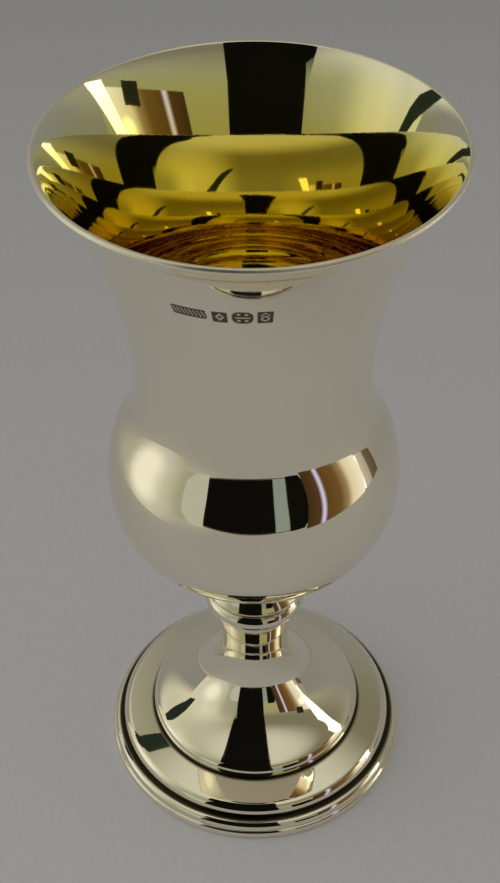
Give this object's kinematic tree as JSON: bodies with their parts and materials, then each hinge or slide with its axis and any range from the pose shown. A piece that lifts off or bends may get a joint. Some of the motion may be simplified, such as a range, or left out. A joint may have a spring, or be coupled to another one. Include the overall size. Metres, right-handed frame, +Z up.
{
  "type": "silver goblet",
  "caption": "Footed silver goblet with a flared mouth, narrow waist, round lower bulb, grooved knop and stepped trumpet foot, gilt inside.",
  "frame": {"origin": "on the goblet's axis, in the plane of the flat ring that the foot stands on", "axes": "+Z up along the axis; the row of punched marks faces -Y"},
  "size_m": [0.0668, 0.0668, 0.14],
  "materials": {
    "silver": "polished sterling silver with fine handling scratches",
    "gilt": "bright pale gold wash on the inside of the bowl"
  },
  "bodies": {
    "root": {"bowl": "silver", "knop": "silver", "foot": "silver"}
  },
  "joints": []
}
